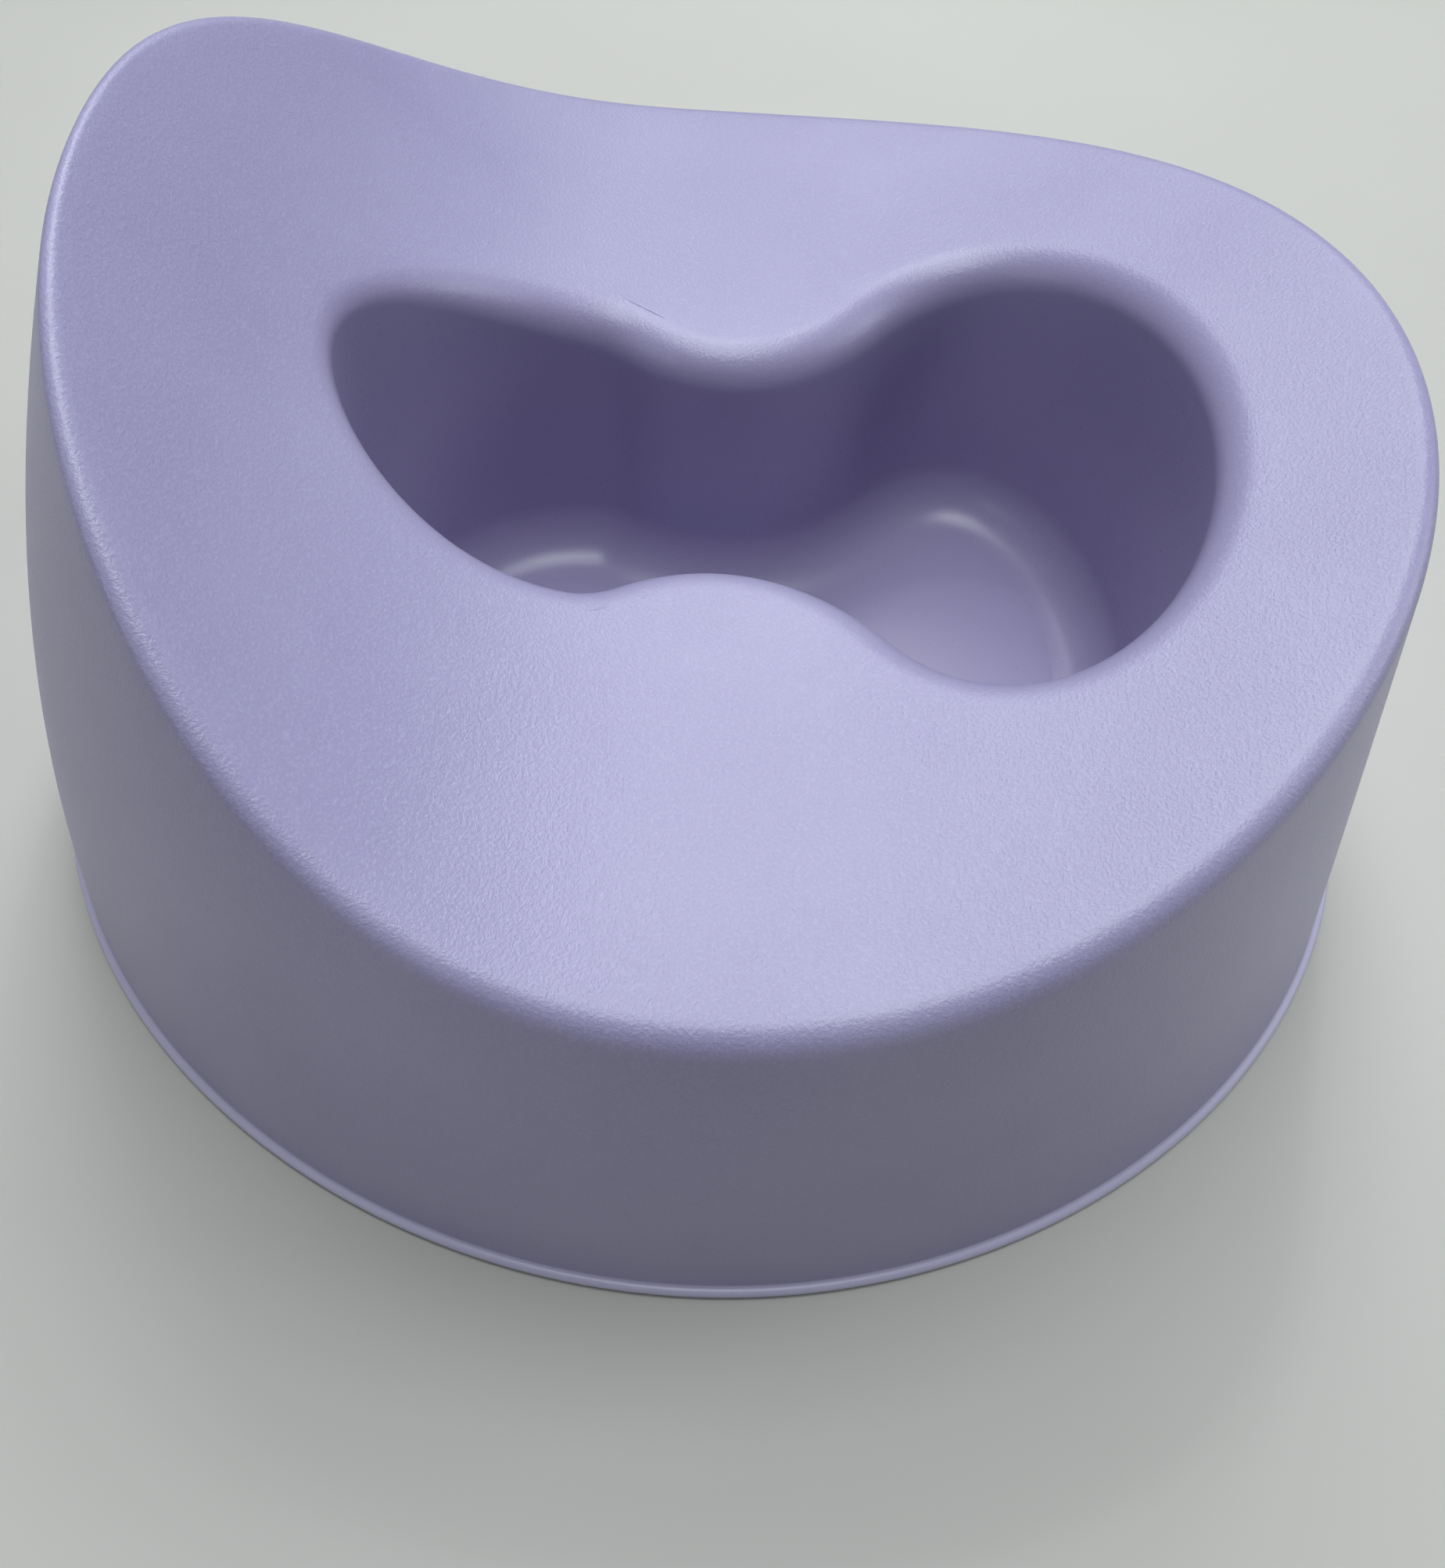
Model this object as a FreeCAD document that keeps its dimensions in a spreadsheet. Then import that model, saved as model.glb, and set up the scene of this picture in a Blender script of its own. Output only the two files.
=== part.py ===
"""Potty training chair: one seamless moulded shell with a saddle seat, a raised back and an
integral bowl, and the rubber grip pads pressed into its underside.

Frame: millimetres, +Z up, +Y to the back of the chair, X across it (X = 0 is the mirror plane).
The origin is on the floor, in the middle of the footprint.
"""
import FreeCAD, Part

import math
import os
from FreeCAD import Vector

DIMENSIONS = [
    # alias, value, what it is
    ("base_length", 376.4, "skirt at the floor, front to back"),
    ("base_width", 334.8, "skirt at the floor, side to side"),
    ("base_egg", 0.013, "how much narrower the back half of the skirt is"),
    ("base_pinch", 0.045, "how far its outline is drawn in between the axes of the oval"),
    ("lean_back", 0.108, "how far the skirt leans in per mm of height, at the back"),
    ("lean_side", 0.070, "the same at the sides"),
    ("lean_front", 0.199, "the same at the front"),
    ("bow_back", 0.00096, "extra lean per mm of height squared, at the back"),
    ("bow_side", 0.00012, "the same at the sides"),
    ("bow_front", 0.00010, "the same at the front"),
    ("edge_back", 1.6, "radius of the seat's outer edge at the back"),
    ("edge_side", 6.6, "the same at the sides"),
    ("edge_front", 3.0, "the same at the front"),
    ("crest_middle_y", 4.1, "where the lowest part of the saddle is"),
    ("crest_step", 95.0, "spacing along Y of the heights that shape the seat"),
    ("crest_front_end", 168.8, "height of the seat surface two steps ahead of the middle"),
    ("crest_front", 129.9, "height one step ahead of the middle"),
    ("crest_middle", 116.0, "height at the lowest part"),
    ("crest_back", 157.5, "height one step behind the middle"),
    ("crest_back_end", 312.6, "height two steps behind the middle, past the back edge"),
    ("wall", 2.5, "thickness of the moulding"),
    ("bowl_back_y", 36.5, "centre of the bowl's rear lobe"),
    ("bowl_back_radius", 30.1, "its radius before stretching"),
    ("bowl_back_stretch", 1.745, "how far the rear lobe is drawn out towards the back"),
    ("bowl_front_y", -68.3, "centre of the bowl's front lobe"),
    ("bowl_front_radius", 46.0, "its radius before stretching"),
    ("bowl_waist_radius", 65.7, "radius of the waist between the lobes"),
    ("bowl_stretch", 1.508, "how much wider than round both lobes are"),
    ("bowl_floor", 40.0, "height of the bowl's floor"),
    ("bowl_draft", 0.015, "how far the bowl's wall opens per mm of height"),
    ("bowl_roll", 10.7, "radius of the roll from the seat into the bowl"),
    ("bowl_corner", 15.5, "radius between the bowl's wall and floor"),
    ("bead_height", 2.8, "height of the bead round the foot of the skirt"),
    ("bead_reach", 1.8, "how far the bead stands out of the skirt"),
    ("bead_run", 1.4, "height of the hollow that runs from the bead into the skirt"),
    ("pad_diameter", 16.0, "rubber pad"),
    ("pad_height", 4.0, "rubber pad, with the part inside its socket"),
    ("pad_edge", 0.6, "radius of the pad's lower edge"),
    ("pad_proud", 0.8, "how far a pad stands below the bead"),
    ("pad_inset", 12.5, "from the skirt's outline to a pad's centre"),
    ("boss_wall", 2.2, "wall of the socket round a pad"),
    ("boss_height", 12.0, "height of the socket"),
]
PAD_ANGLES = {"front_right": 145.0, "front_left": 215.0, "rear_right": 40.0, "rear_left": 320.0}
STATIONS = 72
EDGE_LEAST = 0.6
BEAD_STEPS, RUN_STEPS, EDGE_STEPS, ROLL_STEPS, CORNER_STEPS = 6, 3, 4, 6, 5
WALL_SHARES = [0, 0.18, 0.36, 0.54, 0.7, 0.85]
SEAT_SHARES = [0.17, 0.34, 0.5, 0.67, 0.84]
BOWL_SHARES = [0.33, 0.67]


def make_sheet(doc):
    sheet = doc.addObject("Spreadsheet::Sheet", "Dimensions")
    for row, (alias, value, meaning) in enumerate(DIMENSIONS, start=1):
        sheet.set(f"A{row}", alias)
        sheet.set(f"B{row}", str(value))
        sheet.set(f"C{row}", meaning)
        sheet.setAlias(f"B{row}", alias)
    doc.recompute()
    return sheet


class Form:
    """The chair's surfaces as formulas, from the sheet's dimensions."""

    def __init__(self, sheet):
        self.size = {alias: float(sheet.get(alias)) for alias, _, _ in DIMENSIONS}
        self.crest = self.natural_spline()

    def natural_spline(self):
        """Heights and second derivatives of the seat's side profile at its five stations."""
        size = self.size
        heights = [size[name] for name in (
            "crest_front_end", "crest_front", "crest_middle", "crest_back", "crest_back_end")]
        step = size["crest_step"]
        bend = [6 * (heights[i - 1] - 2 * heights[i] + heights[i + 1]) / step**2 for i in (1, 2, 3)]
        middle = (bend[1] - (bend[0] + bend[2]) / 4) / (4 - 0.5)
        curvatures = [0.0, (bend[0] - middle) / 4, middle, (bend[2] - middle) / 4, 0.0]
        return heights, curvatures

    def seat_height(self, y):
        """Height of the seat surface, and its slope, on any line across the chair."""
        heights, curvatures = self.crest
        step = self.size["crest_step"]
        place = (y - self.size["crest_middle_y"]) / step + 2
        i = max(0, min(3, math.floor(place)))
        b = place - i
        a = 1 - b
        height = a * heights[i] + b * heights[i + 1] + (
            (a**3 - a) * curvatures[i] + (b**3 - b) * curvatures[i + 1]) * step**2 / 6
        slope = (heights[i + 1] - heights[i]) / step + (
            (3 * b * b - 1) * curvatures[i + 1] - (3 * a * a - 1) * curvatures[i]) * step / 6
        return height, slope

    def around(self, name, angle):
        """A value that goes smoothly from its back to its side to its front figure."""
        back, side, front = (self.size[f"{name}_{place}"] for place in ("back", "side", "front"))
        c = math.cos(angle)
        return side + (back - front) / 2 * c + ((back + front) / 2 - side) * c * c

    def skirt(self, angle, outset=0.0):
        """A point of the skirt's outline on the floor and the outline's outward normal."""
        long, wide = self.size["base_length"] / 2, self.size["base_width"] / 2
        egg, pinch = self.size["base_egg"], self.size["base_pinch"]
        s, c = math.sin(angle), math.cos(angle)
        draw = 1 - pinch * (s * c)**2
        turn = -pinch * math.sin(4 * angle) / 2
        point = Vector(wide * s * (draw - egg * c), long * c * draw, 0)
        along = Vector(wide * (c * (draw - egg * c) + s * (turn + egg * s)),
                       long * (c * turn - s * draw), 0)
        normal = Vector(-along.y, along.x, 0).normalize()
        return point + normal * outset, normal

    def bowl(self, share, height=0.0):
        """A point of the bowl's outline at a height and its outward normal, share 0 to 1 round
        from the back: two lobes and the waists that join them, all stretched sideways."""
        size = self.size
        y1, r1 = size["bowl_back_y"], size["bowl_back_radius"]
        y2, r2 = size["bowl_front_y"], size["bowl_front_radius"]
        waist = size["bowl_waist_radius"]
        gap, near, far = y1 - y2, r1 + waist, r2 + waist
        back_turn = math.pi - math.acos((near**2 + gap**2 - far**2) / (2 * near * gap))
        front_turn = math.acos((far**2 + gap**2 - near**2) / (2 * far * gap))
        back_arc, waist_arc = r1 * back_turn, waist * (back_turn - front_turn)
        half = back_arc + waist_arc + r2 * (math.pi - front_turn)
        run = 2 * half * min(share, 1 - share)
        if run < back_arc:
            turn, centre, radius = run / r1, (0, y1), r1
        elif run < back_arc + waist_arc:
            turn, radius = back_turn - (run - back_arc) / waist, -waist
            centre = near * math.sin(back_turn), y1 + near * math.cos(back_turn)
        else:
            turn, centre, radius = math.pi - (half - run) / r2, (0, y2), r2
        x, y = centre[0] + radius * math.sin(turn), centre[1] + radius * math.cos(turn)
        across, along = size["bowl_stretch"], size["bowl_back_stretch"] if y > y1 else 1.0
        side = 1 if share <= 0.5 else -1
        point = Vector(side * x * across, y1 + (y - y1) * along, 0)
        normal = Vector(side * math.sin(turn) / across, math.cos(turn) / along, 0).normalize()
        return point + normal * (height - size["crest_middle"]) * size["bowl_draft"], normal

    def inset(self, angle, height):
        """How far the skirt leans in at a height, and its slope there."""
        lean, bow = self.around("lean", angle), self.around("bow", angle)
        return lean * height + bow * height**2, lean + 2 * bow * height


def corner(form, foot, inward, lean_at, drop):
    """Where a wall that rises from a foot point meets the seat surface: the corner, and unit
    vectors down the wall and along the seat, each as (inward, up)."""
    height = form.size["crest_middle"]
    for _ in range(30):
        reach, slope = lean_at(height)
        height = form.seat_height((foot + inward * reach).y)[0] - drop
    reach, slope = lean_at(height)
    place = foot + inward * reach
    rise = form.seat_height(place.y)[1] * inward.y
    down = Vector(-slope, -1, 0).normalize()
    along = Vector(1, rise, 0).normalize()
    return place + Vector(0, 0, height), down, along


def rounded(place, inward, down, along, radius, steps):
    """Points of the arc that rounds a corner, from the wall to the seat."""
    half = down.getAngle(along) / 2
    to_centre = (down + along).normalize() * (radius / math.sin(half))
    start = down * (radius / math.tan(half)) - to_centre
    finish = along * (radius / math.tan(half)) - to_centre
    turn = start.getAngle(finish)
    points = []
    for step in range(steps + 1):
        share = step / steps
        spoke = (start * math.sin((1 - share) * turn) + finish * math.sin(share * turn)) * (
            1 / math.sin(turn))
        offset = to_centre + spoke
        points.append(place + inward * offset.x + Vector(0, 0, offset.y))
    return points


def up(height):
    return Vector(0, 0, height)


def foot_bead(form, outline, out, angle):
    """Points of the half-round bead at the foot of the skirt and of its hollow run into it."""
    size = form.size
    radius, top = size["bead_height"] / 2, size["bead_height"] + size["bead_run"]
    bead = []
    for step in range(BEAD_STEPS + 1):
        turn = math.pi * (step / BEAD_STEPS - 0.5)
        reach = size["bead_reach"] - radius * (1 - math.cos(turn))
        bead.append(outline + out * reach + up(radius * (1 + math.sin(turn))))
    knee = outline - out * form.inset(angle, 2 * radius)[0] + up(2 * radius)
    end = outline - out * form.inset(angle, top)[0] + up(top)
    run = []
    for step in range(RUN_STEPS + 1):
        share = step / RUN_STEPS
        run.append(bead[-1] * (1 - share)**2 + knee * (2 * share * (1 - share)) + end * share**2)
    return bead, run


def skirt_and_edge(form, angle, depth, foot_height):
    """Points up the skirt and over the seat's outer edge."""
    outline, out = form.skirt(angle, -depth)
    edge, down, along = corner(form, outline, out * -1, lambda z: form.inset(angle, z), depth)
    radius = max(form.around("edge", angle) - depth, EDGE_LEAST)
    rounding = rounded(edge, out * -1, down, along, radius, EDGE_STEPS)
    wall = []
    for share in WALL_SHARES:
        z = foot_height + (rounding[0].z - foot_height) * share
        wall.append(outline - out * form.inset(angle, z)[0] + up(z))
    return wall, rounding


def roll_and_bowl(form, share, depth):
    """Points from the seat's inner edge over the roll, down the bowl and round to its floor."""
    size = form.size
    draft, radius = size["bowl_draft"], size["bowl_corner"] + depth
    mouth, away = form.bowl(share)
    mouth += away * depth
    lip, down, along = corner(form, mouth, away, lambda z: (z * draft, draft), depth)
    roll = rounded(lip, away, down, along, size["bowl_roll"] - depth, ROLL_STEPS)[::-1]
    low = size["bowl_floor"] - depth + radius
    wall = []
    for part in BOWL_SHARES:
        z = roll[-1].z + (low - roll[-1].z) * part
        wall.append(form.bowl(share, z)[0] + away * depth + up(z))
    centre = form.bowl(share, low)[0] + away * (depth - radius) + up(low)
    turns = [math.pi / 2 * step / CORNER_STEPS for step in range(CORNER_STEPS + 1)]
    rounding = [centre + away * radius * math.cos(turn) - up(radius * math.sin(turn))
                for turn in turns]
    return roll, wall, rounding


def moulded_form(form, depth, foot_height, beaded):
    """The solid inside the chair's outer skin moved in by depth, from foot_height up."""
    rows = []
    for station in range(STATIONS):
        share = station / STATIONS
        angle = 2 * math.pi * share
        bands = []
        if beaded:
            bands += foot_bead(form, *form.skirt(angle, -depth), angle)
        wall, edge = skirt_and_edge(form, angle, depth, foot_height)
        roll, bowl_wall, floor_corner = roll_and_bowl(form, share, depth)
        seat = [edge[-1]]
        for part in SEAT_SHARES:
            spot = edge[-1] + (roll[0] - edge[-1]) * part
            spot.z = form.seat_height(spot.y)[0] - depth
            seat.append(spot)
        bands += [wall + edge[:1], edge, seat + roll[:1], roll]
        bands += [roll[-1:] + bowl_wall + floor_corner[:1], floor_corner]
        rows.append(bands)
    return skin(rows)


def ring(points):
    """A smooth closed wire through points."""
    curve = Part.BSplineCurve()
    curve.interpolate(Points=points, PeriodicFlag=True)
    return Part.Wire([curve.toShape()])


def skin(rows):
    """A closed solid from every station's bands of points: each band becomes a smooth face, and
    flat faces close the first and the last ring."""
    faces = []
    for band in range(len(rows[0])):
        rings = [ring([row[band][i] for row in rows]) for i in range(len(rows[0][band]))]
        faces += Part.makeLoft(rings, False, False).Faces
        if band == 0:
            faces.append(Part.Face(rings[0]))
    faces.append(Part.Face(rings[-1]))
    shell = Part.Shell(faces)
    shell.sewShape()
    return Part.Solid(Part.Shell(shell.Faces))


def set_shape(doc, label, shape):
    feature = doc.addObject("Part::Feature", label)
    feature.Shape = shape
    feature.Placement = FreeCAD.Placement()
    return feature


def cylinder(doc, label, centre, sizes):
    """A cylinder whose properties follow the sheet: property name to formula."""
    made = doc.addObject("Part::Cylinder", label)
    made.Placement.Base = centre
    for name, formula in sizes.items():
        made.setExpression(name, formula)
    return made


def join(doc, kind, label, members):
    joined = doc.addObject(kind, label)
    if kind == "Part::Cut":
        joined.Base, joined.Tool = members
    else:
        joined.Shapes = members
    return joined


def make_body(doc, form):
    """The moulding: its outside, less its hollow underside, less a socket for every pad. The
    hollow leaves out the bosses round the sockets, so they are part of the moulding."""
    size = form.size
    outside = set_shape(doc, "Outside", moulded_form(
        form, 0, size["bead_height"] + size["bead_run"], True))
    underside = set_shape(doc, "Underside", moulded_form(form, size["wall"], -1, False))
    bosses, sockets = [], []
    for place, degrees in PAD_ANGLES.items():
        centre = form.skirt(math.radians(degrees), -size["pad_inset"])[0]
        bosses.append(cylinder(doc, f"Boss_{place}", centre, {
            "Radius": "Dimensions.pad_diameter / 2 + Dimensions.boss_wall",
            "Height": "Dimensions.boss_height"}))
        sockets.append(cylinder(doc, f"Socket_{place}", centre, {
            "Radius": "Dimensions.pad_diameter / 2",
            "Height": "Dimensions.pad_height - Dimensions.pad_proud"}))
    hollow = join(doc, "Part::Cut", "Hollow", [underside, join(doc, "Part::MultiFuse", "Bosses", bosses)])
    moulding = join(doc, "Part::Cut", "Moulding", [outside, hollow])
    body = join(doc, "Part::Cut", "potty_body", [moulding, join(doc, "Part::MultiFuse", "Sockets", sockets)])
    body.setExpression("Placement.Base.z", "Dimensions.pad_proud")
    return body


def make_pad(doc, form, place, degrees):
    """A rubber button that fills its socket and stands on the floor."""
    blank = cylinder(doc, f"Button_{place}", Vector(), {
        "Radius": "Dimensions.pad_diameter / 2", "Height": "Dimensions.pad_height"})
    doc.recompute()
    lowest = min(range(len(blank.Shape.Edges)), key=lambda i: blank.Shape.Edges[i].CenterOfMass.z)
    pad = doc.addObject("Part::Fillet", f"grip_pad_{place}")
    pad.Base = blank
    pad.Edges = [(lowest + 1, form.size["pad_edge"], form.size["pad_edge"])]
    pad.Placement.Base = form.skirt(math.radians(degrees), -form.size["pad_inset"])[0]
    return pad


def main():
    doc = FreeCAD.newDocument("PottyTrainingChair")
    form = Form(make_sheet(doc))
    nodes = [make_body(doc, form)]
    for place, degrees in PAD_ANGLES.items():
        nodes.append(make_pad(doc, form, place, degrees))
    doc.recompute()
    for feature in doc.Objects:
        if {"Invalid", "Error"} & set(feature.State):
            raise RuntimeError(f"{feature.Label} did not compute: {feature.State}")
    os.makedirs("parts", exist_ok=True)
    for node in nodes:
        if node.Shape.isNull() or not node.Shape.isValid() or len(node.Shape.Solids) != 1:
            raise RuntimeError(f"{node.Label} is not one sound solid")
        node.Shape.exportStep(f"parts/{node.Label}.step")


main()
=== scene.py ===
"""Looks of the potty training chair: one seamless lilac moulding, its rubber grip pads and a plain
studio. Metres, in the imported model's frame: +Z up, +Y towards the back, X = 0 the mirror plane.
"""

import math

import bpy
from mathutils import Matrix, Vector


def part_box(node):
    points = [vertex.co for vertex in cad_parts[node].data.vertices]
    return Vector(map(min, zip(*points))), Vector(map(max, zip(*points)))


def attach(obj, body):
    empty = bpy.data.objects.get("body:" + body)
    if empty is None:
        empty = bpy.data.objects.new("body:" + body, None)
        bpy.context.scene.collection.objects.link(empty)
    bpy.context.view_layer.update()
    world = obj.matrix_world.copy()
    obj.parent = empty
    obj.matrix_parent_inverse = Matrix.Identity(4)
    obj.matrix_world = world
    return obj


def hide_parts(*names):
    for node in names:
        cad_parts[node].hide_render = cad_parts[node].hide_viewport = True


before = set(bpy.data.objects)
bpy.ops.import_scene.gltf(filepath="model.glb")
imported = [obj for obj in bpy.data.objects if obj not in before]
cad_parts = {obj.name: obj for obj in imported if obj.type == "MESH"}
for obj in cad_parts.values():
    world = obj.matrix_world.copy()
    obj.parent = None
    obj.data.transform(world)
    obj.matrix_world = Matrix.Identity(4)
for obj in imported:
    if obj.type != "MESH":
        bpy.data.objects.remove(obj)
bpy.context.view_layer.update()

# The moulding: the bead round its foot runs up into the skirt.
BODY_LOW, BODY_HIGH = (Vector(corner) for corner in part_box("potty_body"))
FOOT = BODY_LOW.z
WALL = 0.0025
BEAD_REACH, BEAD_HEIGHT, BEAD_RUN = 0.0018, 0.0028, 0.0014
HALF_LENGTH = (BODY_HIGH.y - BODY_LOW.y) / 2 - BEAD_REACH
HALF_WIDTH = (BODY_HIGH.x - BODY_LOW.x) / 2 - BEAD_REACH
# The skirt's outline is an ellipse, wider at the front and drawn in on its diagonals.
EGG, PINCH = 0.013, 0.045
# The skirt's lean, its bow per metre of height and the radius of its top edge, each at the back,
# the sides and the front
LEAN = (0.108, 0.070, 0.199)
BOW = (0.96, 0.12, 0.10)
EDGE_RADIUS = (0.0016, 0.0066, 0.0030)
LEAST_UNDERSIDE_EDGE_RADIUS = 0.0006
# The seat's height along Y, at five evenly spaced stations from the front to the back
CREST = (0.1688, 0.1299, 0.1160, 0.1575, 0.3126)
CREST_MIDDLE_Y, CREST_STEP = 0.0041, 0.095
LOWEST_SEAT = CREST[2]
# The bowl: two lobes joined by waists, as (centre y, radius), before stretching
REAR_LOBE, FRONT_LOBE = (0.0365, 0.0301), (-0.0683, 0.0460)
WAIST_RADIUS = 0.0657
BOWL_STRETCH, REAR_STRETCH = 1.508, 1.745
BOWL_FLOOR, BOWL_DRAFT = 0.040, 0.015
ROLL_RADIUS, CORNER_RADIUS = 0.0107, 0.0155
# The pads, their grip rings and their sockets
PADS = ("front_right", "front_left", "rear_right", "rear_left")
PAD_EDGE, FIRST_RING, RING, RINGS, GROOVE = 0.0006, 0.0014, 0.0011, 3, 0.00035
BOSS_WALL, BOSS_HEIGHT, BOSS_CHAMFER, SOCKET_DEPTH = 0.0022, 0.012, 0.0008, 0.0034

# The mesh: stations round the moulding, steps across the bowl's floor, and steps in each stretch
# of a station's section
STATIONS = 288
FLOOR_COLUMNS = 24
OUTSIDE_ROWS = {"wall": 22, "edge": 8, "seat": 22, "roll": 14, "bowl": 8, "corner": 9}
UNDERSIDE_ROWS = {"wall": 12, "edge": 2, "seat": 12, "roll": 6, "bowl": 6, "corner": 6}
BEAD_ROWS, RUN_ROWS = 12, 5
CORNER_PASSES = 30
SHARP = math.radians(50)

# How far each stretch is spark-textured. The texture fades out down the roll.
# Where it is below 1, as in the bowl and down the roll, the colour is painted darker as shade.
GRAIN = {"bead": 0.0, "wall": 1.0, "edge": 1.0, "seat": 1.0, "bowl": 0.0, "corner": 0.0,
         "underside": 0.3}
LILAC_PALE, LILAC_DEEP = (0.397, 0.368, 0.574), (0.352, 0.323, 0.527)
# Second line: pale flecks, partly the grain's own tone and partly painted glints; the bowl's colour,
# darker as painted shade; the bead's colour, paler as painted light.
FLECK_AND_GLINT, PAINTED_BOWL_SHADE, PAINTED_BEAD_LIGHT = (0.47, 0.44, 0.66), (0.333, 0.298, 0.472), (0.60, 0.57, 0.78)
RUBBER_DEEP, RUBBER_PALE = (0.27, 0.26, 0.30), (0.33, 0.32, 0.36)
FLOOR_DEEP, FLOOR_PALE = (0.58, 0.57, 0.535), (0.62, 0.61, 0.575)

# Soft boxes that shine at the middle of the chair: place, width and height, and power
DAYLIGHT = (0.93, 0.98, 1.0)
SKY, SKY_STRENGTH = (0.93, 0.95, 1.0, 1), 0.06
LIGHTS_AIM = Vector((0, 0, 0.1))
LIGHTS = {
    "overhead": ((0.1, 0, 1.75), (0.9, 0.9), 13.4),
    "ceiling": ((-0.35, 0, 1.75), (0.6, 0.6), 2.8),
    "key": ((0.85, 0.05, 1.40), (0.7, 0.7), 6.4),
    "window_top": ((0.71, 0.07, 1.475), (0.28, 0.07), 1.4),
    "window_side": ((0.86, -0.12, 1.39), (0.07, 0.26), 1.4),
    "side": ((1.35, 0, 1.10), (0.8, 0.8), 3.6),
    "front_fill": ((0.2, -1.4, 0.9), (0.8, 0.8), 5.2),
    "back_fill": ((-0.9, 1.1, 0.9), (0.8, 0.8), 2.1),
}
PICTURE = (1848, 2005)


def crest_curvatures():
    """Second derivatives, at its stations, of the natural spline through the crest's heights.
    They are 0 at both ends, and at each station between, the one before, four times its own and
    the one after add up to that station's bend."""
    bend = [6 * (CREST[i - 1] - 2 * CREST[i] + CREST[i + 1]) / CREST_STEP**2 for i in (1, 2, 3)]
    middle = (bend[1] - (bend[0] + bend[2]) / 4) / 3.5
    return 0.0, (bend[0] - middle) / 4, middle, (bend[2] - middle) / 4, 0.0


CREST_CURVATURES = crest_curvatures()


def seat_height(y):
    """Height of the seat above the foot, and its slope along Y."""
    place = (y - CREST_MIDDLE_Y) / CREST_STEP + 2
    i = max(0, min(3, math.floor(place)))
    b = place - i
    a = 1 - b
    low, high = CREST_CURVATURES[i], CREST_CURVATURES[i + 1]
    height = a * CREST[i] + b * CREST[i + 1] + (
        (a**3 - a) * low + (b**3 - b) * high) * CREST_STEP**2 / 6
    slope = (CREST[i + 1] - CREST[i]) / CREST_STEP + (
        (3 * b * b - 1) * high - (3 * a * a - 1) * low) * CREST_STEP / 6
    return height, slope


def around(figures, angle):
    """A figure at an angle round the skirt, from those at the back, the sides and the front."""
    back, side, front = figures
    c = math.cos(angle)
    return side + (back - front) / 2 * c + ((back + front) / 2 - side) * c * c


def skirt(angle, outset=0.0):
    """A point of the skirt's outline at the foot, moved outwards by outset, and the normal
    there. The angle is 0 at the back."""
    s, c = math.sin(angle), math.cos(angle)
    draw = 1 - PINCH * (s * c)**2
    turn = -PINCH * math.sin(4 * angle) / 2
    point = Vector((HALF_WIDTH * s * (draw - EGG * c), HALF_LENGTH * c * draw, 0))
    along = Vector((HALF_WIDTH * (c * (draw - EGG * c) + s * (turn + EGG * s)),
                    HALF_LENGTH * (c * turn - s * draw), 0))
    normal = Vector((-along.y, along.x, 0)).normalized()
    return point + normal * outset, normal


def inset(angle, height):
    """How far the skirt leans in at a height, and its slope there."""
    lean, bow = around(LEAN, angle), around(BOW, angle)
    return lean * height + bow * height**2, lean + 2 * bow * height


def bowl(share, height):
    """A point of the bowl's outline at a height, share 0 to 1 round from the back, and the
    outward normal there."""
    (y1, r1), (y2, r2) = REAR_LOBE, FRONT_LOBE
    gap, near, far = y1 - y2, r1 + WAIST_RADIUS, r2 + WAIST_RADIUS
    rear_turn = math.pi - math.acos((near**2 + gap**2 - far**2) / (2 * near * gap))
    front_turn = math.acos((far**2 + gap**2 - near**2) / (2 * far * gap))
    rear_arc, waist_arc = r1 * rear_turn, WAIST_RADIUS * (rear_turn - front_turn)
    half = rear_arc + waist_arc + r2 * (math.pi - front_turn)
    run = 2 * half * min(share, 1 - share)
    if run < rear_arc:
        turn, centre, radius = run / r1, (0, y1), r1
    elif run < rear_arc + waist_arc:
        turn, radius = rear_turn - (run - rear_arc) / WAIST_RADIUS, -WAIST_RADIUS
        centre = near * math.sin(rear_turn), y1 + near * math.cos(rear_turn)
    else:
        turn, centre, radius = math.pi - (half - run) / r2, (0, y2), r2
    x, y = centre[0] + radius * math.sin(turn), centre[1] + radius * math.cos(turn)
    stretch = REAR_STRETCH if y > y1 else 1.0
    side = 1 if share <= 0.5 else -1
    point = Vector((side * x * BOWL_STRETCH, y1 + (y - y1) * stretch, 0))
    normal = Vector((side * math.sin(turn) / BOWL_STRETCH, math.cos(turn) / stretch, 0)).normalized()
    return point + normal * (height - LOWEST_SEAT) * BOWL_DRAFT, normal


def up(height):
    return Vector((0, 0, height))


def spread(first, last, steps):
    """Evenly spaced numbers from first to last, both included."""
    return [first + (last - first) * step / steps for step in range(steps + 1)]


def rounded_corner(foot, inward, lean_at, depth, radius, steps):
    """The arc, from the wall to the seat, that rounds the corner where a wall rising from a
    foot point meets the seat's surface lowered by depth. It is worked out in the upright plane
    through inward, after a few passes that find the corner's height."""
    height = LOWEST_SEAT
    for _ in range(CORNER_PASSES):
        height = seat_height((foot + inward * lean_at(height)[0]).y)[0] - depth
    reach, lean = lean_at(height)
    corner = foot + inward * reach
    down = Vector((-lean, -1)).normalized()
    along = Vector((1, seat_height(corner.y)[1] * inward.y)).normalized()
    half = down.angle(along) / 2
    centre = (down + along).normalized() * (radius / math.sin(half))
    start = down * (radius / math.tan(half)) - centre
    finish = along * (radius / math.tan(half)) - centre
    turn = start.angle(finish)
    points = []
    for part in spread(0, 1, steps):
        spoke = (start * math.sin((1 - part) * turn) + finish * math.sin(part * turn)) / math.sin(turn)
        offset = centre + spoke
        points.append(corner + inward * offset.x + up(height + offset.y))
    return points


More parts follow.
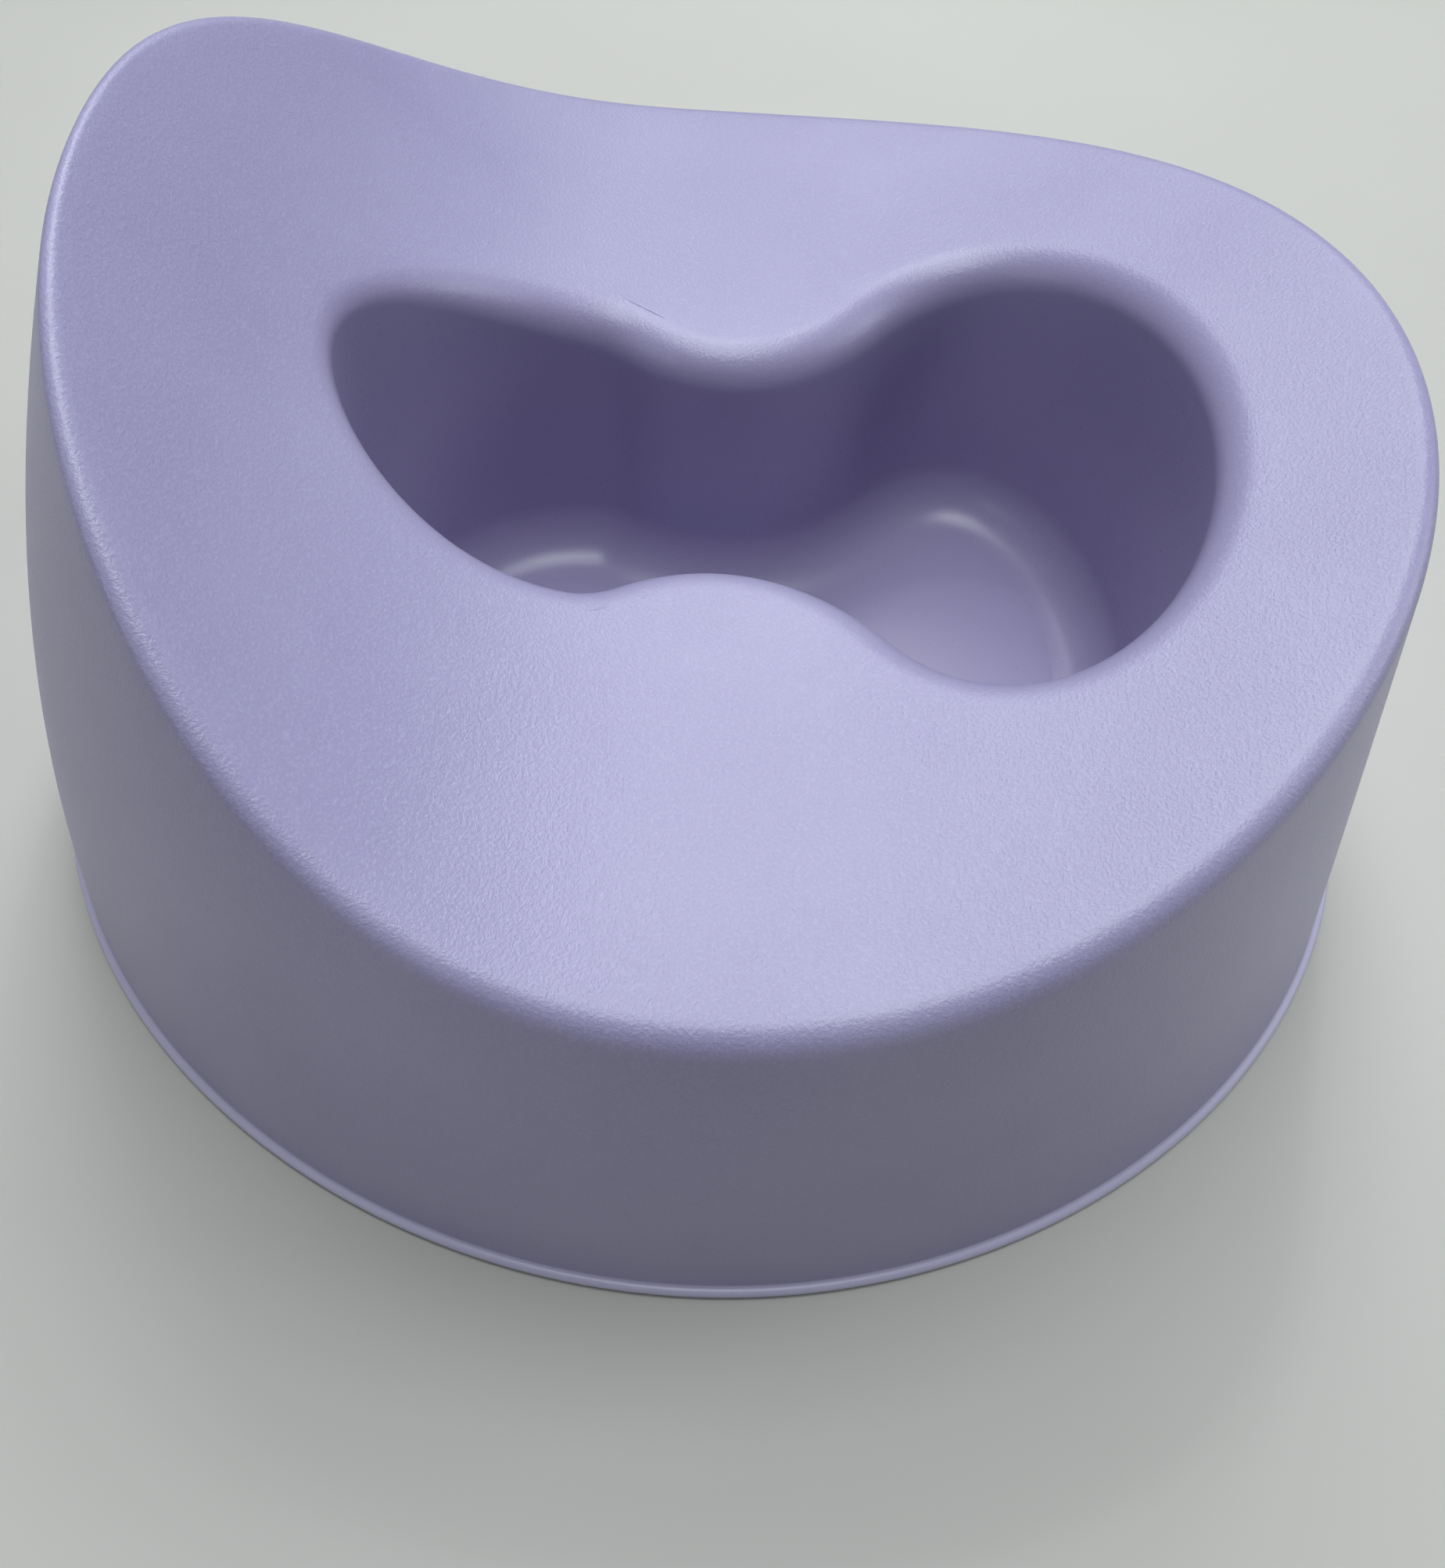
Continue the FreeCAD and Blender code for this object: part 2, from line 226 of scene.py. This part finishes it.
def foot_bead(angle):
    """The half-round bead at the foot and its hollow run up into the skirt."""
    outline, out = skirt(angle)
    radius, top = BEAD_HEIGHT / 2, BEAD_HEIGHT + BEAD_RUN
    bead = []
    for turn in spread(-math.pi / 2, math.pi / 2, BEAD_ROWS):
        reach = BEAD_REACH - radius * (1 - math.cos(turn))
        bead.append(outline + out * reach + up(radius * (1 + math.sin(turn))))
    knee = outline - out * inset(angle, BEAD_HEIGHT)[0] + up(BEAD_HEIGHT)
    end = outline - out * inset(angle, top)[0] + up(top)
    run = [bead[-1] * (1 - part)**2 + knee * (2 * part * (1 - part)) + end * part**2
           for part in spread(0, 1, RUN_ROWS)]
    return bead + run[1:-1]


def skin_rows(station, depth, foot_height, rows):
    """One station's points, from the foot up the skirt, across the seat, down the bowl and to
    the edge of its floor, on the skin that lies depth inside the moulding's surface. rows gives
    the steps in each stretch."""
    share = station / STATIONS
    angle = 2 * math.pi * share
    outline, out = skirt(angle, -depth)
    edge_radius = max(around(EDGE_RADIUS, angle) - depth, LEAST_UNDERSIDE_EDGE_RADIUS)
    edge = rounded_corner(outline, -out, lambda z: inset(angle, z), depth, edge_radius, rows["edge"])
    wall = [outline - out * inset(angle, z)[0] + up(z)
            for z in spread(foot_height, edge[0].z, rows["wall"])]
    mouth, away = bowl(share, 0.0)
    mouth += away * depth
    roll = rounded_corner(mouth, away, lambda z: (z * BOWL_DRAFT, BOWL_DRAFT), depth,
                          ROLL_RADIUS - depth, rows["roll"])[::-1]
    seat = []
    for part in spread(0, 1, rows["seat"]):
        spot = edge[-1].lerp(roll[0], part)
        spot.z = seat_height(spot.y)[0] - depth
        seat.append(spot)
    radius = CORNER_RADIUS + depth
    low = BOWL_FLOOR - depth + radius
    side = [bowl(share, z)[0] + away * depth + up(z) for z in spread(roll[-1].z, low, rows["bowl"])]
    toe = bowl(share, low)[0] + away * (depth - radius) + up(low)
    corner = [toe + away * radius * math.cos(turn) - up(radius * math.sin(turn))
              for turn in spread(0, math.pi / 2, rows["corner"])]
    return {"wall": wall[:-1], "edge": edge[:-1], "seat": seat[:-1], "roll": roll[:-1],
            "bowl": side[:-1], "corner": corner}


def body_columns():
    """Every station's points round the moulding's section, from the edge of the bowl's floor
    over the outside and back along the underside, and each row's grain and painted bead light."""
    columns = []
    for station in range(STATIONS):
        outside = skin_rows(station, 0.0, BEAD_HEIGHT + BEAD_RUN, OUTSIDE_ROWS)
        underside = skin_rows(station, WALL, 0.0, UNDERSIDE_ROWS)
        outer = foot_bead(2 * math.pi * station / STATIONS)
        bead = len(outer)
        grains = [GRAIN["bead"]] * bead
        for stretch, points in outside.items():
            outer += points
            if stretch == "roll":
                # Down the roll the grain fades, and the colour turns to the painted shade of the bowl.
                grains += [1 - step / len(points) for step in range(len(points))]
            else:
                grains += [GRAIN[stretch]] * len(points)
        inner = [point for points in underside.values() for point in points]
        columns.append(outer[::-1] + inner)
    grain = grains[::-1] + [GRAIN["underside"]] * len(inner)
    # The bead's rows get 1: there the colour is painted paler as the light on the bead.
    painted_bead_light = [0.0] * (len(outer) - bead) + [1.0] * bead + [0.0] * len(inner)
    return columns, {"grain": grain, "painted_bead_light": painted_bead_light}


def close_floor(vertices, faces, ring, flip):
    """Fills a ring of vertices with a grid: each vertex is joined to its mirror image."""
    half = STATIONS // 2
    lines = [[ring[0]]]
    for station in range(1, half):
        left, right = ring[STATIONS - station], ring[station]
        line = [left]
        for part in spread(0, 1, FLOOR_COLUMNS)[1:-1]:
            vertices.append(vertices[left].lerp(vertices[right], part))
            line.append(len(vertices) - 1)
        lines.append(line + [right])
    lines.append([ring[half]])
    for first, second in zip(lines, lines[1:]):
        for column in range(FLOOR_COLUMNS):
            face = [first[min(column, len(first) - 1)], first[min(column + 1, len(first) - 1)],
                    second[min(column + 1, len(second) - 1)], second[min(column, len(second) - 1)]]
            face = list(dict.fromkeys(face))
            faces.append(face if flip else face[::-1])


def make_body():
    columns, row_values = body_columns()
    rows = len(columns[0])
    vertices = [point + up(FOOT) for column in columns for point in column]
    faces = []
    for station in range(STATIONS):
        here, there = station * rows, (station + 1) % STATIONS * rows
        for row in range(rows - 1):
            faces.append((here + row, here + row + 1, there + row + 1, there + row))
    close_floor(vertices, faces, [station * rows for station in range(STATIONS)], False)
    close_floor(vertices, faces, [(station + 1) * rows - 1 for station in range(STATIONS)], True)
    body = add_mesh("moulding", vertices, faces)
    floor_values = [0.0] * (len(vertices) - rows * STATIONS)
    for name, row in row_values.items():
        layer = body.data.attributes.new(name, "FLOAT", "POINT")
        layer.data.foreach_set("value", row * STATIONS + floor_values)
    body.data.set_sharp_from_angle(angle=SHARP)
    return body


def add_mesh(name, vertices, faces):
    mesh = bpy.data.meshes.new(name)
    mesh.from_pydata(vertices, [], faces)
    mesh.validate()
    mesh.shade_smooth()
    made = bpy.data.objects.new(name, mesh)
    bpy.context.scene.collection.objects.link(made)
    return made


def lathe(name, profile, centre, steps=64):
    """A closed solid turned round a vertical axis from a closed profile of (radius, height)
    points. Points on the axis become one vertex."""
    vertices, rings = [], []
    for radius, height in profile:
        count = steps if radius else 1
        rings.append([len(vertices) + step % count for step in range(steps)])
        for step in range(count):
            turn = 2 * math.pi * step / steps
            spoke = Vector((math.cos(turn), math.sin(turn), 0)) * radius
            vertices.append(centre + spoke + up(height))
    faces = []
    for first, second in zip(rings, rings[1:] + rings[:1]):
        for step in range(steps):
            after = (step + 1) % steps
            face = list(dict.fromkeys([first[step], first[after], second[after], second[step]]))
            if len(face) > 2:
                faces.append(face)
    made = add_mesh(name, vertices, faces)
    made.data.set_sharp_from_angle(angle=SHARP)
    return made


def node_tree(name):
    material = bpy.data.materials.new(name)
    material.use_nodes = True
    nodes, links = material.node_tree.nodes, material.node_tree.links
    return material, nodes, links, nodes["Principled BSDF"]


def noise(nodes, links, place, scale, detail):
    """Noise fixed to the object, with about scale features to the metre."""
    texture = nodes.new("ShaderNodeTexNoise")
    texture.inputs["Scale"].default_value = scale
    texture.inputs["Detail"].default_value = detail
    links.new(place.outputs["Object"], texture.inputs["Vector"])
    return texture.outputs["Fac"]


def attribute(nodes, name):
    """One of the values that make_body stores on the moulding's points."""
    reader = nodes.new("ShaderNodeAttribute")
    reader.attribute_name = name
    return reader.outputs["Fac"]


def remap(nodes, links, value, low, high, start=0.3, stop=0.7):
    """A value between start and stop, spread between low and high."""
    ranged = nodes.new("ShaderNodeMapRange")
    ranged.inputs["From Min"].default_value = start
    ranged.inputs["From Max"].default_value = stop
    ranged.inputs["To Min"].default_value = low
    ranged.inputs["To Max"].default_value = high
    links.new(value, ranged.inputs["Value"])
    return ranged.outputs["Result"]


def combine(nodes, links, operation, first, second):
    """The sum or product of two values, each a socket or a number."""
    made = nodes.new("ShaderNodeMath")
    made.operation = operation
    for value, socket in zip((first, second), made.inputs):
        if isinstance(value, float):
            socket.default_value = value
        else:
            links.new(value, socket)
    return made.outputs[0]


def mixed_colour(nodes, links, factor, first, second):
    """The first colour where the factor is 0 and the second where it is 1."""
    mix = nodes.new("ShaderNodeMix")
    mix.data_type = "RGBA"
    links.new(factor, mix.inputs["Factor"])
    for colour, socket in ((first, mix.inputs["A"]), (second, mix.inputs["B"])):
        if isinstance(colour, tuple):
            socket.default_value = (*colour, 1)
        else:
            links.new(colour, socket)
    return mix.outputs["Result"]


def bump(nodes, links, height, strength, distance):
    made = nodes.new("ShaderNodeBump")
    made.inputs["Distance"].default_value = distance
    links.new(height, made.inputs["Height"])
    if isinstance(strength, float):
        made.inputs["Strength"].default_value = strength
    else:
        links.new(strength, made.inputs["Strength"])
    return made


def moulded_plastic():
    """Lilac polypropylene. The grain attribute is 1 where the mould is spark-textured and 0
    where it is polished, as in the bowl, whose colour is painted darker as shade. The bead is
    painted paler as the light that falls on it, and the grain's pale flecks are partly painted glints."""
    material, nodes, links, shader = node_tree("lilac_polypropylene")
    place = nodes.new("ShaderNodeTexCoord")
    amount, painted_bead_light = attribute(nodes, "grain"), attribute(nodes, "painted_bead_light")
    cloud = noise(nodes, links, place, scale=14.0, detail=3.0)
    speckle = noise(nodes, links, place, scale=1250.0, detail=2.0)
    fine = noise(nodes, links, place, scale=2600.0, detail=1.0)
    broad = mixed_colour(nodes, links, remap(nodes, links, cloud, 0.0, 1.0), LILAC_DEEP, LILAC_PALE)
    spotted = remap(nodes, links, speckle, low=0.0, high=0.5, start=0.48, stop=0.78)
    # Pale flecks, partly the grain's own tone and partly painted glints.
    colour = mixed_colour(nodes, links, spotted, broad, FLECK_AND_GLINT)
    # Where the grain is below 1, as in the bowl, the colour is painted darker as shade.
    colour = mixed_colour(nodes, links, amount, PAINTED_BOWL_SHADE, colour)
    # The bead's colour is painted paler as the light that falls on its top.
    colour = mixed_colour(nodes, links, painted_bead_light, colour, PAINTED_BEAD_LIGHT)
    links.new(colour, shader.inputs["Base Color"])
    polished = remap(nodes, links, speckle, low=0.27, high=0.33)
    rougher = combine(nodes, links, "MULTIPLY", amount, 0.04)
    links.new(combine(nodes, links, "ADD", polished, rougher), shader.inputs["Roughness"])
    shader.inputs["IOR"].default_value = 1.49
    shader.inputs["Subsurface Weight"].default_value = 0.08
    shader.inputs["Subsurface Radius"].default_value = (0.6, 0.55, 0.8)
    shader.inputs["Subsurface Scale"].default_value = 0.004
    height = combine(nodes, links, "ADD", speckle, combine(nodes, links, "MULTIPLY", fine, 0.5))
    strength = remap(nodes, links, amount, low=0.03, high=0.38, start=0.0, stop=1.0)
    texture = bump(nodes, links, height, strength, distance=0.0004)
    ripple = bump(nodes, links, cloud, strength=0.1, distance=0.0008)
    links.new(texture.outputs["Normal"], ripple.inputs["Normal"])
    links.new(ripple.outputs["Normal"], shader.inputs["Normal"])
    return material


def grip_rubber():
    """Soft grey rubber with fine pores."""
    material, nodes, links, shader = node_tree("grip_rubber")
    place = nodes.new("ShaderNodeTexCoord")
    patch = noise(nodes, links, place, scale=260.0, detail=3.0)
    pores = noise(nodes, links, place, scale=2400.0, detail=2.0)
    shade = mixed_colour(nodes, links, remap(nodes, links, patch, 0.0, 1.0), RUBBER_DEEP, RUBBER_PALE)
    links.new(shade, shader.inputs["Base Color"])
    links.new(remap(nodes, links, patch, low=0.62, high=0.8), shader.inputs["Roughness"])
    surface = bump(nodes, links, pores, strength=0.3, distance=0.0003)
    links.new(surface.outputs["Normal"], shader.inputs["Normal"])
    return material


def studio_floor():
    """A pale matt floor with slight tone variation."""
    material, nodes, links, shader = node_tree("pale_floor")
    place = nodes.new("ShaderNodeTexCoord")
    tone = noise(nodes, links, place, scale=3.0, detail=4.0)
    shade = mixed_colour(nodes, links, remap(nodes, links, tone, 0.0, 1.0), FLOOR_DEEP, FLOOR_PALE)
    links.new(shade, shader.inputs["Base Color"])
    shader.inputs["Roughness"].default_value = 0.8
    return material


def make_pad(place, rubber):
    """A rubber button with grip rings on its underside, in place of the plain CAD one."""
    low, high = (Vector(corner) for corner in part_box(f"grip_pad_{place}"))
    radius, height = (high.x - low.x) / 2, high.z - low.z
    profile = [(0.0, 0.0)]
    for step in range(RINGS):
        inner = FIRST_RING + step * 2 * RING
        profile += [(inner, 0.0), (inner + 0.2 * RING, GROOVE), (inner + 0.8 * RING, GROOVE),
                    (inner + RING, 0.0)]
    profile += [(radius - PAD_EDGE + PAD_EDGE * math.sin(turn), PAD_EDGE - PAD_EDGE * math.cos(turn))
                for turn in spread(0, math.pi / 2, 5)]
    profile += [(radius, height), (0.0, height)]
    centre = Vector(((low.x + high.x) / 2, (low.y + high.y) / 2, low.z))
    pad = lathe(f"rubber_pad_{place}", profile, centre)
    pad.data.materials.append(rubber)
    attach(pad, "root")
    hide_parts(f"grip_pad_{place}")
    return centre, radius


def make_boss(place, centre, radius, plastic):
    """The socket round a pad, moulded on the inside of the skirt's foot."""
    outer, roof = radius + BOSS_WALL, BOSS_HEIGHT
    profile = [(0.0, SOCKET_DEPTH), (radius, SOCKET_DEPTH), (radius, 0.0), (outer, 0.0),
               (outer, roof - BOSS_CHAMFER), (outer - BOSS_CHAMFER, roof), (0.0, roof)]
    boss = lathe(f"pad_socket_{place}", profile, centre + up(FOOT))
    boss.data.materials.append(plastic)
    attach(boss, "root")


def add_area(name, place, size, power):
    light = bpy.data.lights.new(name, "AREA")
    light.shape = "RECTANGLE"
    light.size, light.size_y = size
    light.energy = power
    light.color = DAYLIGHT
    lamp = bpy.data.objects.new(name, light)
    lamp.location = place
    lamp.rotation_euler = (Vector(place) - LIGHTS_AIM).to_track_quat("Z", "Y").to_euler()
    bpy.context.scene.collection.objects.link(lamp)


def make_studio():
    bpy.ops.mesh.primitive_plane_add(size=8)
    floor = bpy.context.object
    floor.name = "studio_floor"
    floor.data.materials.append(studio_floor())
    for name, (place, size, power) in LIGHTS.items():
        add_area(name, place, size, power)
    world = bpy.data.worlds.new("studio")
    bpy.context.scene.world = world
    world.use_nodes = True
    background = world.node_tree.nodes["Background"]
    background.inputs["Color"].default_value = SKY
    background.inputs["Strength"].default_value = SKY_STRENGTH


def make_camera():
    """A phone held over the chair's -X side, looking down at it, with the back at the left."""
    azimuth, elevation, roll = math.radians(-91.51), math.radians(54.52), 0.0669
    distance, target = 0.4164, Vector((-0.0275, -0.0045, 0.0163))
    focal_pixels = 1837.1
    view = Vector((math.sin(azimuth) * math.cos(elevation),
                   -math.cos(azimuth) * math.cos(elevation), math.sin(elevation)))
    data = bpy.data.cameras.new("camera")
    data.sensor_width = 36.0
    data.lens = data.sensor_width * focal_pixels / max(PICTURE)
    data.clip_start = 0.01
    camera = bpy.data.objects.new("camera", data)
    turned = view.to_track_quat("Z", "Y").to_matrix() @ Matrix.Rotation(roll, 3, "Z")
    camera.matrix_world = Matrix.Translation(target + view * distance) @ turned.to_4x4()
    bpy.context.scene.collection.objects.link(camera)
    bpy.context.scene.camera = camera


def main():
    plastic, rubber = moulded_plastic(), grip_rubber()
    body = make_body()
    body.data.materials.append(plastic)
    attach(body, "root")
    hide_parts("potty_body")
    for place in PADS:
        centre, radius = make_pad(place, rubber)
        make_boss(place, centre, radius, plastic)
    make_studio()
    make_camera()
    bpy.context.scene.view_settings.view_transform = "Standard"


main()
